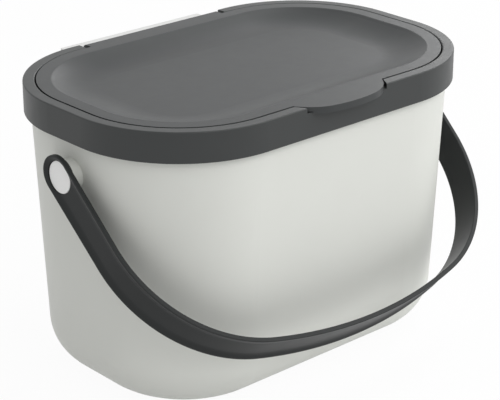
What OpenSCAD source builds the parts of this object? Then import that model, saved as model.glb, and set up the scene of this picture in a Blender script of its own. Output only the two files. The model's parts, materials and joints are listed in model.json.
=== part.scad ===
// Kitchen compost caddy: a drafted bucket, a liner frame that clamps the bag over its rim, a
// hinged lid with a dished top, a channelled bail on two snap buttons, and a hanger that
// hooks the caddy over a cupboard door.
// Millimetres. +X runs along the length, -Y is the front with the lift tab, +Z is up, and
// the origin is the middle of the base.

/* [Overall] */
// Length of the rim
rim_l = 265; // [240:1:320]
// Depth of the rim, front to back
rim_w = 175; // [165:1:210]
// Radius of the rim's corners in plan
rim_r = 72; // [62:1:76]
// Height of the caddy, base to top of the rim
caddy_h = 177.5; // [160:0.5:240]

/* [Bucket] */
// Thickness of the bucket's wall
bucket_wall = 2; // [1.6:0.1:2.6]
// Thickness of the bucket's floor
floor_t = 2.5; // [1.6:0.1:5]
// Draft of the bucket's wall, in degrees
draft = 2.4; // [1:0.1:3]
// Radius of the round between wall and base
base_round = 28.7; // [12:0.1:32]
// How far the wall stands in from the rim, level with the apron's lower edge
wall_inset = 4.1; // [4:0.1:5]
// How far the bead round the bucket's mouth stands out from the wall
bead_w = 1.1; // [0.6:0.1:1.3]
// Height of that bead
bead_h = 2.2; // [1.5:0.1:5]

/* [Liner frame] */
// Height of the outer apron
apron_h = 18; // [14:0.5:24]
// Thickness of the frame's plastic
frame_wall = 2; // [1.6:0.1:2.2]
// Width of the flat band round the lid
band_w = 7; // [6.5:0.1:8]
// Thickness of the riser under the band's inner edge
riser_t = 2.5; // [2.2:0.1:2.8]
// Depth of the ledge that the lid rests on, below the top of the rim
ledge_drop = 8.5; // [8:0.1:10]
// How far the ledge reaches inwards past the riser
ledge_reach = 4.5; // [3:0.1:7]
// Round along both top edges of the band
edge_round = 0.8; // [0.6:0.1:1.2]

/* [Lid] */
// Thickness of the lid's plate
lid_t = 2.4; // [2:0.1:2.8]
// Gap between lid and band
lid_gap = 0.8; // [0.5:0.1:1.2]
// Thickness of the skirt round the lid
skirt_t = 1.8; // [1.4:0.1:2.4]
// Gap between the skirt and the ledge
seat_gap = 0.2; // [0.1:0.1:0.5]
// Width of the flat border between the lid's edge and the dish
border_w = 7.8; // [6:0.1:12]
// How deep the dish is
dish_depth = 6.5; // [3:0.5:8]
// Width of the slope down into the dish
dish_slope = 28; // [16:1:36]
// Radius of the crest where the slope leaves the border
crest_r = 3; // [2.6:0.1:5]

/* [Lift tab] */
// Width of the tab where it leaves the lid
tab_w = 70; // [50:1:90]
// How far the tab reaches past the apron
tab_reach = 7.9; // [5:0.1:10]
// Radius of the tab's two shoulders
shoulder_r = 29; // [27:0.5:34]
// Distance of the shoulders' centres from the middle
shoulder_x = 9.75; // [8:0.25:12]
// Thickness of the tab's plate
tab_t = 2.6; // [2.2:0.1:3.2]
// Height of the lip turned down along the tab's edge
tab_lip_h = 4; // [3.5:0.1:8]
// Thickness of that lip
tab_lip_t = 1.6; // [1.2:0.1:2.4]
// Room under the tab in the frame's notch
notch_gap = 0.5; // [0.3:0.1:1]
// Width of the notch at the face of the apron
notch_w = 62.6; // [56:0.1:66]

/* [Lid hinge] */
// Length of the barrel along the lid's back edge
hinge_l = 105; // [90:1:108]
// Radius of the barrel
hinge_r = 3; // [2.8:0.1:3.1]
// Radius of the pins at the barrel's ends
pin_r = 1.5; // [1.2:0.1:1.6]
// Length of each pin
pin_l = 7; // [6.4:0.1:8]
// Running clearance round a pin
pin_gap = 0.05; // [0.03:0.01:0.1]
// Gap under the barrel, and past the end of each pin
hinge_gap = 0.4; // [0.3:0.1:0.6]
// Gap at each end of the barrel
end_gap = 3.4; // [0.4:0.1:4]

/* [Bail] */
// Height of the bail's pivots below the top of the rim
pivot_drop = 38.5; // [36:0.5:48]
// Angle of the bail below level, hanging at the front, in degrees
bail_tilt = 42.2; // [20:0.1:48]
// Width of the bail's strap
strap_w = 23; // [18:0.5:26]
// Thickness of the strap over its lips
strap_t = 2.8; // [2.6:0.1:3.6]
// Width of the lip along each edge of the strap
lip_w = 1.3; // [1:0.1:1.8]
// Depth of the channel between the lips
channel_d = 1.5; // [0.8:0.1:1.6]
// Gap between the frame and the bail's arms
arm_gap = 3.3; // [3:0.1:6]
// How far the bail reaches from its pivots
bail_reach = 144.8; // [140:0.1:160]
// Radius of the bail's corners
bail_corner_r = 86; // [70:1:92]
// Radius of the bail's long curve across the front
bail_front_r = 295; // [240:1:340]
// Lean of the bail's arms towards each other, in degrees
arm_lean = 1.3; // [0:0.1:2]
// Radius of the eye at each end of the strap
eye_r = 12; // [11.6:0.1:13]
// How far the eye's centre lies past the pivot
eye_past = 1.3; // [0:0.1:2.5]
// Thickness of the pad inside each eye
pad_t = 1; // [0.6:0.1:1.4]
// Radius of that pad
pad_r = 11; // [10:0.1:12]

/* [Pivot buttons] */
// Radius of the button's head
button_r = 9.6; // [8:0.1:10]
// Height of the round along the head's edge
button_round = 0.5; // [0.3:0.1:0.8]
// Radius of the button's shank
shank_r = 4; // [3:0.1:5]
// Radius of the boss on the bucket
boss_r = 9.2; // [8.6:0.1:10.5]
// Gap between the boss and the bail
boss_gap = 0.5; // [0.3:0.1:1]

/* [Door hanger] */
// Width of the hanger
hanger_w = 111; // [90:1:114]
// Thickness of the hanger
hanger_t = 2; // [1.6:0.1:3]
// Thickness of the door that the hanger takes
door_t = 18; // [15:1:20]
// Depth of the hanger's bridge below the top of the rim
hanger_drop = 7; // [6:0.5:10]
// Length of the hanger's rear leg
rear_leg = 42; // [25:1:60]
// Length of the hanger's front plate
front_leg = 72; // [68:1:84]
// Radius of the hanger's lower corners
hanger_corner = 10; // [4:1:14]
// Radius of the hanger's rear corners in plan
hanger_plan_r = 5; // [3:0.5:8]
// Radius outside the folds between bridge and legs
fold_r = 3; // [2.2:0.1:4]
// Gap between the hanger and the frame's apron
hanger_gap = 0.5; // [0.3:0.1:1]
// Distance between the two hooks
hook_pitch = 64; // [50:1:80]
// Width of each hook's head
hook_w = 26; // [20:1:34]
// Width of each hook's neck
neck_w = 16; // [10:1:18]
// Thickness of each hook's head
hook_t = 2; // [1.6:0.1:2.6]
// Height of each hook
hook_h = 28; // [20:1:32]
// Depth of the hooks' upper ends below the apron
hook_drop = 20; // [16:1:30]
// Clearance round the hooks in their sockets
hook_gap = 0.3; // [0.2:0.05:0.4]
// Thickness of the plastic round each socket
socket_wall = 2; // [1.8:0.1:2.4]

/* [Hidden] */
fine = 96;      // facets drawn on a large round
small = 48;     // facets drawn on a small round
over = 1;       // how far a cut runs past the face that it opens
fuse = 0.2;     // how far joined plates run into each other
root = 0.5;     // how far a boss or block runs into the wall that it stands on

// Colours of the four plastics
pale_grey = [0.82, 0.82, 0.79];
dark_grey = [0.38, 0.39, 0.39];
charcoal = [0.2, 0.21, 0.21];
white = [0.93, 0.93, 0.92];

// Bucket: the wall's outer radius at a corner, at any height
apron_z = caddy_h - apron_h;
function wall_x(z) = rim_r - wall_inset - (apron_z - z) * tan(draft);
function end_wall(z) = rim_l / 2 - rim_r + wall_x(z);
function back_wall(z) = rim_w / 2 - rim_r + wall_x(z);
mouth_z = caddy_h - ledge_drop - frame_wall;

// Liner frame: distances inwards from the rim's outline
riser_in = band_w - riser_t;
ledge_in = band_w + ledge_reach;
ledge_z = caddy_h - ledge_drop;

// Lid
lid_in = band_w + lid_gap;
lid_front = rim_w / 2 - lid_in;
skirt_h = ledge_drop - seat_gap;
lap = 0.5;              // how far the dish's edge runs into the plate
dish_in = lid_in + border_w;
dish_r = rim_r - dish_in;
sweep_a = 2 * atan(dish_depth / dish_slope);
cove_r = dish_slope / sin(sweep_a) - crest_r;

// Lift tab: two shoulders that run out of the lid's front edge, and a flatter arc between them
shoulder_y = sqrt(pow(shoulder_r, 2) - pow(tab_w / 2 - shoulder_x, 2)) - lid_front;
tip_y = rim_w / 2 + tab_reach;
tip_off = shoulder_y + tip_y;
tip_r = (pow(shoulder_x, 2) + pow(tip_off, 2) - pow(shoulder_r, 2))
        / (2 * (tip_off - shoulder_r));
notch_floor = caddy_h - tab_t - notch_gap;

// Lid hinge
hinge_y = rim_w / 2 - hinge_r;
hinge_z = caddy_h - hinge_r;
pin_end = 1;            // plastic past the end of each pin
cheek = pin_l - end_gap + hinge_gap + pin_end;

// Bail: the outline's outer face, with x across the bail and v from its pivots outwards
pivot_z = caddy_h - pivot_drop;
arm_x = rim_l / 2 + arm_gap + strap_t;
lean_x = cos(arm_lean);
lean_v = sin(arm_lean);
corner_off = arm_x * lean_x - bail_corner_r;
front_v = bail_reach - bail_front_r;
turn_b = -lean_v * lean_x * corner_off + lean_x * (lean_v * corner_off - front_v);
turn_c = pow(lean_x * corner_off, 2) + pow(lean_v * corner_off - front_v, 2)
         - pow(bail_front_r - bail_corner_r, 2);
turn = -turn_b + sqrt(turn_b * turn_b - turn_c);
corner_x = lean_x * corner_off - lean_v * turn;
corner_v = lean_v * corner_off + lean_x * turn;
arm_l = turn + lean_v * arm_x;

// Pivot buttons: places along X
boss_x = arm_x - strap_t - pad_t - boss_gap;
boss_root = end_wall(pivot_z - boss_r) - root;
seat_run = 0.15;        // running gap under the button's head
seat_rim = 0.3;         // gap round the button's head
head_sunk = 1.55;       // depth of the head's face below the bail's lips
head_t = 1;             // thickness of the head
bore_floor = 0.8;       // plastic left behind the shank
head_x = arm_x - head_sunk;
seat_x = head_x - head_t - seat_run;
shank_end = end_wall(pivot_z) + bore_floor;

// Door hanger: places along Y and Z
plate_y = rim_w / 2 + hanger_gap;
bridge_z = caddy_h - hanger_drop;
hanger_depth = door_t + 2 * hanger_t;
hook_top = apron_z - hook_drop;
socket_y = rim_w / 2 + hanger_gap - hook_gap;
head_y = socket_y - socket_wall - hook_gap;
socket_top = hook_top + socket_wall;

// A plate outline in plan: a rectangle l by w with corners of radius r
module round_rect(l, w, r) {
    square([l - 2 * r, w], center = true);
    square([l, w - 2 * r], center = true);
    for (sx = [-1, 1], sy = [-1, 1])
        translate([sx * (l / 2 - r), sy * (w / 2 - r)])
            circle(r, $fn = fine);
}

// Carries a profile round a rounded rectangle. The profile's x is measured outwards from the
// corners' centres, and its y is the height.
module round_the_rim(l, w, r) {
    for (a = [0, 180]) rotate([0, 0, a]) {
        translate([l / 2 - r, w / 2 - r, 0])
            rotate_extrude(angle = 90, $fn = fine) children();
        translate([-(l / 2 - r), w / 2 - r, 0])
            rotate([0, 0, 90])
                rotate_extrude(angle = 90, $fn = fine) children();
        translate([l / 2 - r, w / 2 - r, 0])
            rotate([90, 0, 0])
                linear_extrude(w - 2 * r) children();
        translate([-(l / 2 - r), w / 2 - r, 0])
            rotate([90, 0, 90])
                linear_extrude(l - 2 * r) children();
    }
}

// Half section of the bucket's body, its wall line moved in by off and cut off at height top
module bucket_half(off, bottom, top) {
    round_r = base_round - off;
    round_z = bottom + round_r;
    round_x = wall_x(round_z) - off / cos(draft) - round_r / cos(draft);
    union() {
        translate([round_x, round_z])
            circle(round_r, $fn = fine);
        polygon([
            [0, bottom],
            [round_x, bottom],
            [round_x + round_r * cos(draft), round_z - round_r * sin(draft)],
            [wall_x(top) - off / cos(draft), top],
            [0, top]
        ]);
    }
}

module bucket_section() {
    difference() {
        union() {
            bucket_half(0, 0, mouth_z);
            translate([wall_x(mouth_z) - bucket_wall, mouth_z - bead_h])
                square([bucket_wall + bead_w, bead_h]);
        }
        difference() {
            bucket_half(bucket_wall, floor_t, mouth_z + over);
            square([rim_r, floor_t]);
        }
    }
}

// Socket for one hook: a block on the back wall with a T-shaped slot, open below
module socket_block() {
    block_w = hook_w + 2 * (hook_gap + socket_wall);
    block_h = hook_h + socket_wall;
    root_y = back_wall(socket_top - block_h) - root;
    translate([-block_w / 2, root_y, socket_top - block_h])
        cube([block_w, socket_y - root_y, block_h]);
}

module socket_slot() {
    slot_h = hook_h + over;
    translate([-(hook_w / 2 + hook_gap), head_y - hook_t - hook_gap, hook_top - hook_h - over])
        cube([hook_w + 2 * hook_gap, hook_t + 2 * hook_gap, slot_h + hook_gap]);
    translate([-(neck_w / 2 + hook_gap), head_y, hook_top - hook_h - over])
        cube([neck_w + 2 * hook_gap, socket_y - head_y + over, slot_h + hook_gap]);
}

module bucket() color(pale_grey) {
    floor_l = rim_l - 2 * rim_r;
    floor_w = rim_w - 2 * rim_r;
    difference() {
        union() {
            round_the_rim(rim_l, rim_w, rim_r)
                bucket_section();
            translate([-floor_l / 2, -floor_w / 2, 0])
                cube([floor_l, floor_w, floor_t]);
            for (side = [-1, 1])
                translate([side * boss_root, 0, pivot_z])
                    rotate([0, side * 90, 0])
                        cylinder(boss_x - boss_root, boss_r, boss_r, $fn = fine);
            for (side = [-1, 1])
                translate([side * hook_pitch / 2, 0, 0])
                    socket_block();
        }
        for (side = [-1, 1])
            translate([side * shank_end, 0, pivot_z])
                rotate([0, side * 90, 0])
                    cylinder(boss_x, shank_r, shank_r, $fn = small);
        for (side = [-1, 1])
            translate([side * hook_pitch / 2, 0, 0])
                socket_slot();
    }
}

// Section of the liner frame: apron, band, riser and ledge
module frame_section() {
    translate([rim_r - frame_wall, apron_z])
        square([frame_wall, apron_h - edge_round]);
    translate([rim_r - band_w + edge_round, caddy_h - frame_wall])
        square([band_w - 2 * edge_round, frame_wall]);
    for (x = [rim_r - band_w + edge_round, rim_r - edge_round])
        translate([x, caddy_h - edge_round])
            circle(edge_round, $fn = small);
    translate([rim_r - band_w, ledge_z - frame_wall])
        square([riser_t, ledge_drop + frame_wall - edge_round]);
    translate([rim_r - ledge_in, ledge_z - frame_wall])
        square([ledge_reach + riser_t, frame_wall]);
}

module liner_frame() color(dark_grey) {
    difference() {
        union() {
            difference() {
                round_the_rim(rim_l, rim_w, rim_r)
                    frame_section();
                tab_notch();
                hinge_notch();
            }
            notch_shelf();
            for (side = [-1, 1])
                hinge_cheek(side);
        }
        for (side = [-1, 1])
            translate([side * (hinge_l / 2 + end_gap - over), hinge_y, hinge_z])
                rotate([0, side * 90, 0])
                    cylinder(pin_l - end_gap + hinge_gap + over, pin_r + pin_gap, pin_r + pin_gap,
                             $fn = small);
    }
}

// Outline of the notch for the lift tab, wider at the lid than at the apron's face
module notch_outline(front) {
    notch_base = tab_w / 2 + lid_gap;
    polygon([
        [-notch_base, -lid_front],
        [-notch_w / 2, -rim_w / 2],
        [-notch_w / 2, -rim_w / 2 - front],
        [notch_w / 2, -rim_w / 2 - front],
        [notch_w / 2, -rim_w / 2],
        [notch_base, -lid_front]
    ]);
}

module tab_notch() {
    translate([0, 0, notch_floor])
        linear_extrude(caddy_h - notch_floor + over)
            notch_outline(over);
}

// Shelf that closes the frame's channel under the tab
module notch_shelf() {
    translate([-tab_w / 2, -(rim_w / 2 - frame_wall + fuse), notch_floor - frame_wall])
        cube([tab_w, riser_in - frame_wall + 2 * fuse, frame_wall]);
}

module hinge_notch() {
    cut_l = hinge_l + 2 * end_gap;
    translate([-cut_l / 2, lid_front - fuse, hinge_z - hinge_r - hinge_gap])
        cube([cut_l, lid_in + fuse + over, 2 * hinge_r + hinge_gap + over]);
}

// End wall of the hinge notch, which holds a pin of the lid
module hinge_cheek(side) {
    start = hinge_l / 2 + end_gap;
    from_x = side > 0 ? start : -start - cheek;
    cheek_h = 2 * hinge_r + hinge_gap - frame_wall / 2;
    translate([from_x, rim_w / 2 - riser_in - fuse, hinge_z - hinge_r - hinge_gap])
        cube([cheek, riser_in - frame_wall + 2 * fuse, cheek_h]);
}

// The dish's surface in half section, moved outwards by off: a small crest, and a long cove
// down to the floor
module dish_half(off, top) {
    cove = [dish_r - dish_slope, caddy_h - dish_depth + cove_r];
    crest = [dish_r, caddy_h - crest_r];
    meet = cove + (cove_r + off) * [sin(sweep_a), -cos(sweep_a)];
    bottom = cove[1] - cove_r - off;
    difference() {
        translate([0, bottom])
            square([meet[0], top - bottom]);
        difference() {
            translate([cove[0], bottom])
                square([meet[0] - cove[0], meet[1] - bottom]);
            translate(cove)
                circle(cove_r + off, $fn = 4 * fine);
        }
    }
    difference() {
        translate(meet)
            square([crest[0] - meet[0], top - meet[1]]);
        translate(crest)
            circle(crest_r - off, $fn = fine);
    }
}

module dish_shell() {
    difference() {
        dish_half(lid_t, caddy_h - lid_t / 2);
        dish_half(0, caddy_h + over);
    }
    translate([dish_r - lap, caddy_h - lid_t])
        square([lap, lid_t]);
}

module tab_outline(off) {
    middle = tip_r - tip_y;
    for (side = [-1, 1])
        translate([side * shoulder_x, shoulder_y])
            circle(shoulder_r - off, $fn = fine);
    intersection() {
        translate([0, middle])
            circle(tip_r - off, $fn = 2 * fine);
        polygon([
            [0, middle],
            [2 * shoulder_x, 2 * shoulder_y - middle],
            [-2 * shoulder_x, 2 * shoulder_y - middle]
        ]);
    }
}

module lid() color(dark_grey) {
    plate_l = rim_l - 2 * lid_in;
    plate_w = rim_w - 2 * lid_in;
    plate_r = rim_r - lid_in;
    hole_in = border_w + lap;
    floor_l = rim_l - 2 * rim_r;
    floor_w = rim_w - 2 * rim_r;
    translate([0, 0, caddy_h - lid_t])
        linear_extrude(lid_t)
            difference() {
                round_rect(plate_l, plate_w, plate_r);
                round_rect(plate_l - 2 * hole_in, plate_w - 2 * hole_in, plate_r - hole_in);
            }
    round_the_rim(rim_l, rim_w, rim_r) {
        dish_shell();
        translate([rim_r - lid_in - skirt_t, caddy_h - skirt_h])
            square([skirt_t, skirt_h]);
    }
    translate([-floor_l / 2, -floor_w / 2, caddy_h - dish_depth - lid_t])
        cube([floor_l, floor_w, lid_t]);
    lift_tab();
    hinge_barrel();
}

module lift_tab() {
    translate([0, 0, caddy_h - tab_t])
        linear_extrude(tab_t)
            intersection() {
                tab_outline(0);
                translate([-tab_w, -rim_w])
                    square([2 * tab_w, rim_w - lid_front + skirt_t / 2]);
            }
    translate([0, 0, caddy_h - tab_lip_h])
        linear_extrude(tab_lip_h)
            difference() {
                intersection() {
                    tab_outline(0);
                    translate([-tab_w, -rim_w])
                        square([2 * tab_w, rim_w / 2 - lid_gap]);
                }
                tab_outline(tab_lip_t);
            }
}

module hinge_barrel() {
    translate([-hinge_l / 2, hinge_y, hinge_z])
        rotate([0, 90, 0])
            cylinder(hinge_l, hinge_r, hinge_r, $fn = small);
    translate([-hinge_l / 2, lid_front - skirt_t / 2, caddy_h - lid_t])
        cube([hinge_l, hinge_y - lid_front + skirt_t / 2, lid_t]);
    translate([-hinge_l / 2 - pin_l, hinge_y, hinge_z])
        rotate([0, 90, 0])
            cylinder(hinge_l + 2 * pin_l, pin_r, pin_r, $fn = small);
}

// What the bail's outline encloses, moved inwards by off. x runs across the bail, and y from
// the pivots out to its front.
module bail_region(off) {
    top = -(eye_r + eye_past + over);
    top_x = (arm_x * lean_x - off - top * lean_v) / lean_x;
    turn_x = corner_x + (bail_corner_r - off) * lean_x;
    turn_y = corner_v + (bail_corner_r - off) * lean_v;
    polygon([
        [-top_x, top],
        [top_x, top],
        [turn_x, turn_y],
        [corner_x, corner_v],
        [-corner_x, corner_v],
        [-turn_x, turn_y]
    ]);
    for (side = [-1, 1])
        translate([side * corner_x, corner_v])
            circle(bail_corner_r - off, $fn = 2 * fine);
    intersection() {
        translate([0, front_v])
            circle(bail_front_r - off, $fn = 4 * fine);
        polygon([
            [0, front_v],
            [corner_x * 2, front_v + (corner_v - front_v) * 2],
            [-corner_x * 2, front_v + (corner_v - front_v) * 2]
        ]);
    }
}

// The strap in side view, drawn in by off: an eye that narrows to the strap's width
module strap_side(off) {
    half = strap_w / 2 - off;
    eye = eye_r - off;
    translate([-eye_past, 0])
        circle(eye, $fn = fine);
    polygon([
        [-eye_past, -eye],
        [arm_l, -half],
        [bail_reach + over, -half],
        [bail_reach + over, half],
        [arm_l, half],
        [-eye_past, eye]
    ]);
}

// A layer of the bail between two depths below its outer face, cut to the strap's side view
module bail_layer(from, to, off) {
    reach = arm_x + over;
    intersection() {
        linear_extrude(2 * (eye_r + over), center = true)
            difference() {
                bail_region(from);
                bail_region(to);
            }
        translate([-reach, 0, 0])
            rotate([90, 0, 90])
                linear_extrude(2 * reach)
                    strap_side(off);
    }
}

module handle() color(charcoal) {
    translate([0, 0, pivot_z])
        rotate([bail_tilt, 0, 0])
            rotate([0, 0, 180])
                difference() {
                    union() {
                        bail_layer(0, strap_t, 0);
                        for (side = [-1, 1]) rotate([0, side * 90, 0])
                            translate([0, 0, arm_x - strap_t - pad_t])
                                cylinder(strap_t + pad_t - channel_d, pad_r, pad_r, $fn = fine);
                    }
                    bail_layer(-over, channel_d, lip_w);
                    for (side = [-1, 1]) rotate([0, side * 90, 0]) {
                        cylinder(arm_x + over, shank_r + pin_gap, shank_r + pin_gap, $fn = small);
                        translate([0, 0, seat_x])
                            cylinder(strap_t, button_r + seat_rim, button_r + seat_rim, $fn = fine);
                    }
                }
}

// A snap button: a flat head with a rounded edge on a shank that is pressed into the boss
module pivot_button() {
    translate([head_x, 0, pivot_z])
        rotate([0, -90, 0])
            rotate_extrude($fn = fine) {
                translate([0, button_round])
                    square([button_r, head_t - button_round]);
                square([button_r - button_round, head_t]);
                translate([button_r - button_round, button_round])
                    circle(button_round, $fn = small);
                square([shank_r, head_x - shank_end]);
            }
}

module pivot_button_left() color(white) mirror([1, 0, 0]) pivot_button();

module pivot_button_right() color(white) pivot_button();

// A rectangle w by h that hangs from the x axis, its two upper corners rounded
module shouldered(w, h, r) {
    translate([-w / 2, -h])
        square([w, h - r]);
    translate([r - w / 2, -r])
        square([w - 2 * r, r]);
    for (side = [-1, 1])
        translate([side * (w / 2 - r), -r])
            circle(r, $fn = small);
}

// A leg of the hanger from the fold down, its back at back_y
module hanger_leg(back_y, leg) {
    translate([0, back_y, bridge_z - leg])
        rotate([90, 0, 0])
            linear_extrude(hanger_t)
                rotate([0, 0, 180])
                    shouldered(hanger_w, leg - fold_r, hanger_corner);
}

// The bridge over the door, with the folds at its front and back
module hanger_bridge() {
    translate([-hanger_w / 2, plate_y + hanger_depth / 2, bridge_z])
        rotate([90, 0, 90])
            linear_extrude(hanger_w)
                difference() {
                    shouldered(hanger_depth, 2 * fold_r, fold_r);
                    translate([0, -hanger_t])
                        shouldered(door_t, 2 * fold_r, fold_r - hanger_t);
                }
}

module door_hanger() color(white) {
    intersection() {
        union() {
            hanger_leg(plate_y + hanger_t, front_leg);
            hanger_leg(plate_y + hanger_depth, rear_leg);
            hanger_bridge();
        }
        translate([0, plate_y + hanger_depth, bridge_z - front_leg - over])
            linear_extrude(front_leg + 2 * over)
                shouldered(hanger_w, hanger_depth + over, hanger_plan_r);
    }
    for (side = [-1, 1])
        translate([side * hook_pitch / 2, 0, hook_top - hook_h]) {
            translate([-neck_w / 2, head_y - hook_t / 2, 0])
                cube([neck_w, plate_y - head_y + hook_t, hook_h]);
            translate([-hook_w / 2, head_y - hook_t, 0])
                cube([hook_w, hook_t, hook_h]);
        }
}

bucket();
liner_frame();
lid();
handle();
pivot_button_left();
pivot_button_right();
door_hanger();
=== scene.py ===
import bmesh
import bpy
import json
import math
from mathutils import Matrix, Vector


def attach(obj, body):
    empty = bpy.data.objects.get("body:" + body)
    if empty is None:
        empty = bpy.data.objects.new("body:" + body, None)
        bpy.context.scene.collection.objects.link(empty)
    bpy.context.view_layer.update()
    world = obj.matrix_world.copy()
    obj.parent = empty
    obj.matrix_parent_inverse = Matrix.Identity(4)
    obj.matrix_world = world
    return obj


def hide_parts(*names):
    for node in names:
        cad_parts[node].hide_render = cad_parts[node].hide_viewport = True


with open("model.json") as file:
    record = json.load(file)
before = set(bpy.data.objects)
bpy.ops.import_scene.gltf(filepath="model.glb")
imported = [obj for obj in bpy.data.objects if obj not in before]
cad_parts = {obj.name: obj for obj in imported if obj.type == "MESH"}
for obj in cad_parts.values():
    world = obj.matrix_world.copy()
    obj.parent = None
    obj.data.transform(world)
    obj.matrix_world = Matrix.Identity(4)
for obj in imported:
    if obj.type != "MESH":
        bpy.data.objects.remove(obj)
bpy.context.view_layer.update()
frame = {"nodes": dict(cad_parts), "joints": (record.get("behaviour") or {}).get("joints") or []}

# ---------------------------------------------------------------------------------------
# Camera. A long lens in front of the caddy's left corner, a little above the lid, so that
# the dished lid, the lift tab and the whole bail are in view.
CAMERA_AZIMUTH = -42.022
CAMERA_ELEVATION = 22.628
CAMERA_DISTANCE = 1.114737
AIM = Vector((0.005085, 0.0, 0.085729))
SENSOR_WIDTH = 36.0
LENS = 130.82

turn, rise = math.radians(CAMERA_AZIMUTH), math.radians(CAMERA_ELEVATION)
outward = Vector((math.sin(turn) * math.cos(rise), -math.cos(turn) * math.cos(rise), math.sin(rise)))
camera = bpy.data.objects.new("camera", bpy.data.cameras.new("camera"))
camera.data.lens = LENS
camera.data.sensor_width = SENSOR_WIDTH
camera.location = AIM + CAMERA_DISTANCE * outward
camera.rotation_euler = (-outward).to_track_quat("-Z", "Y").to_euler()
bpy.context.scene.collection.objects.link(camera)
bpy.context.scene.camera = camera

# ---------------------------------------------------------------------------------------
# Bucket. Injection-moulded polypropylene in a pale warm grey, with a fine spark-eroded grain
# outside. The caddy stands on its flat base, and the bail's bosses are part of the moulding.
BUCKET_GREY = (0.70, 0.71, 0.67)
GRAIN_SIZE = 0.0011
CLOUD_SIZE = 0.03
SHEEN_SIZE = 0.008
WELD_GAP = 1e-6
BROKEN_FROM = math.radians(38)


class Level:
    """One output of a shader node, with the arithmetic that the materials need."""

    def __init__(self, wiring, socket):
        self.wiring, self.socket = wiring, socket

    def work(self, operation, first, second):
        return self.wiring.node("ShaderNodeMath", {"operation": operation}, {0: first, 1: second})

    def __add__(self, other):
        return self.work("ADD", self, other)

    def __sub__(self, other):
        return self.work("SUBTRACT", self, other)

    def __rsub__(self, other):
        return self.work("SUBTRACT", other, self)

    def __mul__(self, other):
        return self.work("MULTIPLY", self, other)

    def __or__(self, other):
        return self.work("MAXIMUM", self, other)

    __radd__, __rmul__, __ror__ = __add__, __mul__, __or__


class Wiring:
    """A node tree, and one way to put nodes into it."""

    def __init__(self, tree):
        self.tree = tree

    def node(self, kind, settings=None, sockets=None, output=0):
        node = self.tree.nodes.new(kind)
        for setting, value in (settings or {}).items():
            setattr(node, setting, value)
        for key, value in (sockets or {}).items():
            socket = node.inputs[key] if isinstance(key, int) else next(
                s for s in node.inputs if s.name == key and s.enabled)
            self.feed(socket, value)
        if isinstance(output, str):
            return Level(self, next(s for s in node.outputs if s.name == output and s.enabled))
        return Level(self, [s for s in node.outputs if s.enabled][output])

    def feed(self, socket, value):
        if isinstance(value, Level):
            self.tree.links.new(value.socket, socket)
        else:
            socket.default_value = value


class Plastic(Wiring):
    """A moulded plastic, as a principled shader with its colour, gloss and grain in front."""

    def __init__(self, name, roughness, specular=0.5):
        self.material = bpy.data.materials.new(name)
        self.material.use_nodes = True
        super().__init__(self.material.node_tree)
        self.roughness = roughness
        self.shader = self.tree.nodes["Principled BSDF"]
        self.shader.inputs["Roughness"].default_value = roughness
        self.shader.inputs["Specular IOR Level"].default_value = specular
        self.place = self.node("ShaderNodeTexCoord", output="Object")

    def speckle(self, size, detail=2.0):
        """Noise whose blotches are about size metres across, between 0 and 1."""
        return self.node("ShaderNodeTexNoise", {}, {
            "Vector": self.place, "Scale": 1 / size, "Detail": detail, "Roughness": 0.5})

    def finish(self, colour, cloud, grain, spread):
        """Colour with a faint cloud in it, a roughness that wanders, and a grain so many metres deep."""
        cloudy = self.speckle(CLOUD_SIZE, 3.0)
        dark = tuple(c * (1 - cloud) for c in colour) + (1,)
        light = tuple(c * (1 + cloud) for c in colour) + (1,)
        self.feed(self.shader.inputs["Base Color"], self.node(
            "ShaderNodeMix", {"data_type": "RGBA"}, {"Factor": cloudy, "A": dark, "B": light}))
        self.feed(self.shader.inputs["Roughness"],
                  self.roughness + spread * (self.speckle(SHEEN_SIZE) - 0.5))
        self.feed(self.shader.inputs["Normal"], self.node(
            "ShaderNodeBump", {}, {"Strength": 1.0, "Distance": grain,
                                   "Height": self.speckle(GRAIN_SIZE, 3.0)}))

    def on(self, *nodes, edge):
        """Dresses CAD nodes, and breaks their sharp edges to a width of edge metres."""
        for name in nodes:
            part = frame["nodes"][name]
            part.data.materials.clear()
            part.data.materials.append(self.material)
            part.modifiers.new("welded", "WELD").merge_threshold = WELD_GAP
            broken = part.modifiers.new("broken_edges", "BEVEL")
            broken.width, broken.segments = edge, 2
            broken.limit_method, broken.angle_limit = "ANGLE", BROKEN_FROM
            part.modifiers.new("even_normals", "WEIGHTED_NORMAL").keep_sharp = True


bucket_plastic = Plastic("bucket_plastic", 0.5, 0.35)
bucket_plastic.finish(BUCKET_GREY, cloud=0.012, grain=0.000012, spread=0.08)
bucket_plastic.on("bucket", edge=0.0003)

# ---------------------------------------------------------------------------------------
# Liner frame. Dark grey polypropylene ring that sits over the bucket's rim and clamps the
# bag's edge. A satin finish outside, with the notch for the lift tab at the front.
FRAME_GREY = (0.040, 0.043, 0.043)

frame_plastic = Plastic("frame_plastic", 0.42, 0.33)
frame_plastic.finish(FRAME_GREY, cloud=0.02, grain=0.000008, spread=0.08)
frame_plastic.on("liner_frame", edge=0.0003)

# ---------------------------------------------------------------------------------------
# Lid. The same dark grey plastic, dished on top, with the lift tab and the hinge's barrel in
# one moulding. Its two pins snap into the liner frame's cheeks.
LID_GREY = (0.053, 0.056, 0.057)

lid_plastic = Plastic("lid_plastic", 0.38, 0.17)
lid_plastic.finish(LID_GREY, cloud=0.02, grain=0.000006, spread=0.06)
lid_plastic.on("lid", edge=0.0003)

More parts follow.
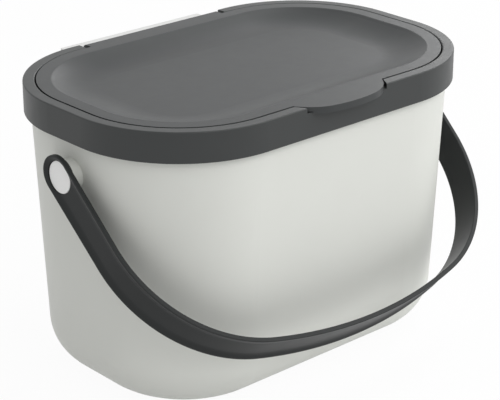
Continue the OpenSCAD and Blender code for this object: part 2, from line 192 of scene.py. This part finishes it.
# Crest of the dish: the ring where the long cove turns over into the flat border. In section
# it follows the cove, then a small arc that ends level with the border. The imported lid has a
# plain step there, and the ring fills it.
LID_TOP = 0.1775
DISH_R = 0.0564
DISH_CORNER_X, DISH_CORNER_Y = 0.0605, 0.0155
DISH_DEPTH, DISH_SLOPE = 0.0065, 0.028
CREST_R = 0.003
STEP_DEPTH = 0.0012
CREST_SUNK = 0.00024
CREST_SHORT = 0.0001
DISH_CORNER_STEPS = 32
CREST_STEPS = 12
CREST_SHARP = math.radians(40)
FUSE_GAP = 1e-7


def crest_profile():
    """Points of the ring's section as (out from the corner's centre, height), back to the first."""
    sweep = 2 * math.atan(DISH_DEPTH / DISH_SLOPE)
    cove_r = DISH_SLOPE / math.sin(sweep) - CREST_R
    cove_out, cove_z = DISH_R - DISH_SLOPE, LID_TOP - DISH_DEPTH + cove_r
    foot = LID_TOP - STEP_DEPTH - CREST_SUNK
    start = cove_out + math.sqrt(cove_r ** 2 - (cove_z - LID_TOP + STEP_DEPTH) ** 2)
    meet = cove_out + cove_r * math.sin(sweep)
    end = DISH_R - CREST_SHORT
    points = [(end, foot), (start, foot)]
    for step in range(CREST_STEPS + 1):
        out = start + (end - start) * step / CREST_STEPS
        if out < meet:
            points.append((out, cove_z - math.sqrt(cove_r ** 2 - (out - cove_out) ** 2)))
        else:
            points.append((out, LID_TOP - CREST_R + math.sqrt(CREST_R ** 2 - (DISH_R - out) ** 2)))
    return points + points[:1]


def made(name, build):
    """Turns a bmesh into an object of the scene, with its faces outwards."""
    bmesh.ops.recalc_face_normals(build, faces=build.faces[:])
    mesh = bpy.data.meshes.new(name)
    build.to_mesh(mesh)
    build.free()
    piece = bpy.data.objects.new(name, mesh)
    bpy.context.scene.collection.objects.link(piece)
    return piece


def solid(name, rings):
    """Skins rings of equal length, the last joined to the first, and fuses double points."""
    build = bmesh.new()
    skin = [[build.verts.new(point) for point in ring] for ring in rings]
    for ring, after in zip(skin, skin[1:] + skin[:1]):
        for a, b, c, d in zip(ring, ring[1:], after[1:], after):
            build.faces.new((a, b, c, d))
    bmesh.ops.remove_doubles(build, verts=build.verts, dist=FUSE_GAP)
    bmesh.ops.dissolve_degenerate(build, edges=build.edges, dist=FUSE_GAP)
    return made(name, build)


profile = crest_profile()
rings = []
for corner, (side, end) in enumerate(((1, 1), (-1, 1), (-1, -1), (1, -1))):
    for step in range(DISH_CORNER_STEPS + 1):
        angle = math.pi / 2 * (corner + step / DISH_CORNER_STEPS)
        rings.append([(side * DISH_CORNER_X + out * math.cos(angle),
                       end * DISH_CORNER_Y + out * math.sin(angle), height)
                      for out, height in profile])
crest = solid("lid_crest", rings)
crest.data.shade_smooth()
crest.data.set_sharp_from_angle(angle=CREST_SHARP)
crest.data.materials.append(lid_plastic.material)
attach(crest, "lid")

# ---------------------------------------------------------------------------------------
# Bail. A charcoal strap, coved down from a lip along each edge to a flat channel, with an eye
# at each end. It is swept along the plain CAD strap, which has the same channel cut square.
BAIL_CHARCOAL = (0.034, 0.036, 0.036)
PIVOT_Z = next(j for j in frame["joints"] if j["name"] == "bail_swing")["pos_m"][2]
TILT = math.radians(42.2)
ARM_X = 0.1386
LEAN = math.radians(1.3)
REACH = 0.1448
CORNER_R = 0.086
FRONT_R = 0.295
STRAP_HALF = 0.0115
STRAP_T = 0.0028
EYE_R = 0.012
EYE_PAST = 0.0013
LIP_W = 0.0013
COVE_W = 0.0045
CHANNEL_D = 0.0015
EDGE_R = 0.00045
SEAT_R, SEAT_D = 0.0099, 0.0027
BORE_R = 0.00405
BORE_REACH = 0.01
PAD_R, PAD_T = 0.011, 0.001
PAD_SUNK = 0.0004
CUT_PAST = 0.002
MIDDLE_SHARE = 0.6
COVE_STEPS, EDGE_STEPS, EYE_STEPS = 8, 4, 32
ARM_STEPS, CORNER_STEPS, FRONT_STEPS = 24, 40, 24
ROUND = 96
STRAP_SHARP = math.radians(35)

bail_plastic = Plastic("bail_plastic", 0.33, 0.09)
bail_plastic.finish(BAIL_CHARCOAL, cloud=0.02, grain=0.000003, spread=0.06)


def strap_profile(half):
    """Half of the strap's section, from its middle over the outer face and back inside.

    Each point is a distance across from the middle and a depth below the outer face."""
    cove_r = (COVE_W ** 2 + CHANNEL_D ** 2) / (2 * CHANNEL_D)
    floor = half - LIP_W - COVE_W
    points = [(0, CHANNEL_D), (MIDDLE_SHARE * floor, CHANNEL_D)]
    sweep = math.asin(COVE_W / cove_r)
    for step in range(COVE_STEPS + 1):
        angle = sweep * step / COVE_STEPS
        points.append((floor + cove_r * math.sin(angle), CHANNEL_D - cove_r * (1 - math.cos(angle))))
    for depth, first in ((EDGE_R, 0), (STRAP_T - EDGE_R, math.pi / 2)):
        for step in range(EDGE_STEPS + 1):
            angle = first + math.pi / 2 * step / EDGE_STEPS
            points.append((half - EDGE_R * (1 - math.sin(angle)), depth - EDGE_R * math.cos(angle)))
    return points + [(MIDDLE_SHARE * half, STRAP_T), (0, STRAP_T)]


def placed(x, v, w):
    """A point of the bail's own frame, v out from its pivots and w across, in the shared frame."""
    return Vector((-x, -v * math.cos(TILT) - w * math.sin(TILT),
                   PIVOT_Z - v * math.sin(TILT) + w * math.cos(TILT)))


def strap_stations():
    """Stations along the outer face, one eye to the other: place, outward normal, half width."""
    normal = Vector((math.cos(LEAN), math.sin(LEAN)))
    along = Vector((-normal.y, normal.x))
    front = Vector((0, REACH - FRONT_R))
    foot = normal * (ARM_X * math.cos(LEAN) - CORNER_R) - front
    run = foot.dot(along)
    turn = math.sqrt(run ** 2 - foot.length_squared + (FRONT_R - CORNER_R) ** 2) - run
    corner = front + foot + turn * along
    first = -EYE_PAST - ARM_X * math.sin(LEAN)
    corner_end = math.atan2(corner.y - front.y, corner.x)
    half = []
    for step in range(ARM_STEPS + 1):
        at = first + (turn - first) * step / ARM_STEPS
        half.append((normal * ARM_X * math.cos(LEAN) + along * at, normal,
                     EYE_R + (STRAP_HALF - EYE_R) * step / ARM_STEPS))
    for centre, radius, begin, end, steps in ((corner, CORNER_R, LEAN, corner_end, CORNER_STEPS),
                                              (front, FRONT_R, corner_end, math.pi / 2, FRONT_STEPS)):
        for step in range(1, steps + 1):
            angle = begin + (end - begin) * step / steps
            out = Vector((math.cos(angle), math.sin(angle)))
            half.append((centre + radius * out, out, STRAP_HALF))
    mirrored = [(Vector((-spot.x, spot.y)), Vector((-out.x, out.y)), width)
                for spot, out, width in half[-2::-1]]
    return half + mirrored


def section(spot, out, width, across, along):
    """One ring of the sweep, its profile turned so that across points from middle to edge."""
    ring = []
    for reach, depth in strap_profile(width):
        flat = spot - depth * out
        beyond = Vector((-out.y, out.x)) * (reach * along)
        ring.append(placed(flat.x + beyond.x, flat.y + beyond.y, reach * across))
    return ring


def disc(name, side, radius, near, far):
    """A round plug about a pivot's axis, from near to far outwards along the bail's X."""
    build = bmesh.new()
    low = [placed(side * near, radius * math.cos(a), radius * math.sin(a))
           for a in (math.tau * n / ROUND for n in range(ROUND))]
    shift = Vector((-side * (far - near), 0, 0))
    under = [build.verts.new(point) for point in low]
    over = [build.verts.new(point + shift) for point in low]
    build.faces.new(under)
    build.faces.new(over)
    for n in range(ROUND):
        build.faces.new((under[n - 1], under[n], over[n], over[n - 1]))
    return made(name, build)


# Down one side of the strap, round the far eye, back up the other side and round the near eye
stations = strap_stations()
rings = [section(*station, 1, 0) for station in stations]
for station, turned in ((stations[-1], 1), (stations[0], -1)):
    spot, out, width = station
    rings += [section(spot, out, width, turned * math.cos(angle), turned * math.sin(angle))
              for angle in (math.pi * n / EYE_STEPS for n in range(1, EYE_STEPS))]
    if turned > 0:
        rings += [section(*station, -1, 0) for station in reversed(stations)]
bail = solid("bail_strap", rings)
inside = ARM_X - STRAP_T
for side in (-1, 1):
    for name, radius, near, far, operation in (
            ("pad", PAD_R, inside - PAD_T, inside + PAD_SUNK, "UNION"),
            ("seat", SEAT_R, ARM_X - SEAT_D, ARM_X + CUT_PAST, "DIFFERENCE"),
            ("bore", BORE_R, ARM_X - BORE_REACH, ARM_X + CUT_PAST, "DIFFERENCE")):
        tool = disc(name, side, radius, near, far)
        cut = bail.modifiers.new(name, "BOOLEAN")
        cut.operation, cut.solver, cut.object = operation, "EXACT", tool
        shown = bail.evaluated_get(bpy.context.evaluated_depsgraph_get())
        shaped = bpy.data.meshes.new_from_object(shown)
        bail.modifiers.clear()
        bail.data = shaped
        bpy.data.objects.remove(tool)
bail.data.name = "bail_strap"
bail.data.shade_smooth()
bail.data.set_sharp_from_angle(angle=STRAP_SHARP)
bail.modifiers.new("even_normals", "WEIGHTED_NORMAL").keep_sharp = True
bail.data.materials.append(bail_plastic.material)
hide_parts("handle")
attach(bail, "handle")

# ---------------------------------------------------------------------------------------
# Pivot buttons. White caps whose shanks are pressed through the bail's eyes into the bosses.
BUTTON_WHITE = (0.90, 0.90, 0.89)

button_plastic = Plastic("button_plastic", 0.35)
button_plastic.finish(BUTTON_WHITE, cloud=0.01, grain=0.000005, spread=0.05)
button_plastic.on("pivot_button_left", "pivot_button_right", edge=0.0002)

# ---------------------------------------------------------------------------------------
# Door hanger. Off-white plastic, folded over the top of a cupboard door. Two hooks on its front
# plate slide up into the sockets on the bucket's back.
HANGER_PALE = (0.68, 0.68, 0.67)

hanger_plastic = Plastic("hanger_plastic", 0.4)
hanger_plastic.finish(HANGER_PALE, cloud=0.01, grain=0.000006, spread=0.05)
hanger_plastic.on("door_hanger", edge=0.0004)

# ---------------------------------------------------------------------------------------
# Setting. A pale floor that keeps a soft shadow, a white surround, and four soft lamps, two of
# them large.
FLOOR_HALF = 4.0
FLOOR_DROP = 0.0002
FLOOR_WHITE = (0.8, 0.8, 0.8, 1)
FLOOR_ROUGHNESS, FLOOR_SPECULAR = 0.9, 0.1
WHITE_SHARE = 0.95
WHITE = (1, 1, 1, 1)
SURROUND = 0.573
LAMP_AIM = Vector((0, 0, 0.1))


def looked_at(wiring):
    """A value of 1 for rays from the camera, and for those a gloss or a clear part sends on."""
    camera_ray, glossy_ray, clear_ray = (
        wiring.node("ShaderNodeLightPath", output=kind)
        for kind in ("Is Camera Ray", "Is Glossy Ray", "Is Transmission Ray"))
    return camera_ray | glossy_ray | clear_ray


floor_mesh = bpy.data.meshes.new("floor")
floor_mesh.from_pydata([(side * FLOOR_HALF, end * FLOOR_HALF, 0)
                        for side, end in ((-1, -1), (1, -1), (1, 1), (-1, 1))], [], [(0, 1, 2, 3)])
floor = bpy.data.objects.new("floor", floor_mesh)
floor.location.z = -FLOOR_DROP
bpy.context.scene.collection.objects.link(floor)
floor_paint = bpy.data.materials.new("floor_paint")
floor_paint.use_nodes = True
wiring = Wiring(floor_paint.node_tree)
paint = wiring.tree.nodes["Principled BSDF"]
paint.inputs["Base Color"].default_value = FLOOR_WHITE
paint.inputs["Roughness"].default_value = FLOOR_ROUGHNESS
paint.inputs["Specular IOR Level"].default_value = FLOOR_SPECULAR
glow = wiring.node("ShaderNodeEmission", {}, {"Color": WHITE, "Strength": 1})
whitened = wiring.node("ShaderNodeMixShader", {}, {
    0: looked_at(wiring) * WHITE_SHARE, 1: Level(wiring, paint.outputs[0]), 2: glow})
wiring.feed(wiring.tree.nodes["Material Output"].inputs["Surface"], whitened)
floor.data.materials.append(floor_paint)

world = bpy.data.worlds.new("surround")
bpy.context.scene.world = world
world.use_nodes = True
wiring = Wiring(world.node_tree)
sky = wiring.node("ShaderNodeBackground", {}, {"Color": WHITE, "Strength": SURROUND})
bright = wiring.node("ShaderNodeBackground", {}, {"Color": WHITE, "Strength": 1})
surround = wiring.node("ShaderNodeMixShader", {}, {0: looked_at(wiring), 1: sky, 2: bright})
wiring.feed(wiring.tree.nodes["World Output"].inputs["Surface"], surround)

# Each lamp: name, place, width, height, power in watts
LAMPS = (
    ("right_softbox", (1.5, -1.1, 1.2), 1.3, 1.1, 15),
    ("front_softbox", (-0.2, -1.8, 1.6), 1.3, 1.1, 13),
    ("top_softbox", (0.9, 0.1, 1.9), 0.6, 0.6, 8),
    ("back_softbox", (1.7, 1.0, 1.0), 0.6, 0.6, 5),
)
for name, spot, wide, high, power in LAMPS:
    lamp = bpy.data.lights.new(name, "AREA")
    lamp.shape = "RECTANGLE"
    lamp.size, lamp.size_y = wide, high
    lamp.energy = power
    holder = bpy.data.objects.new(name, lamp)
    holder.location = spot
    holder.rotation_euler = (LAMP_AIM - Vector(spot)).to_track_quat("-Z", "Y").to_euler()
    bpy.context.scene.collection.objects.link(holder)

bpy.context.scene.view_settings.view_transform = "Standard"
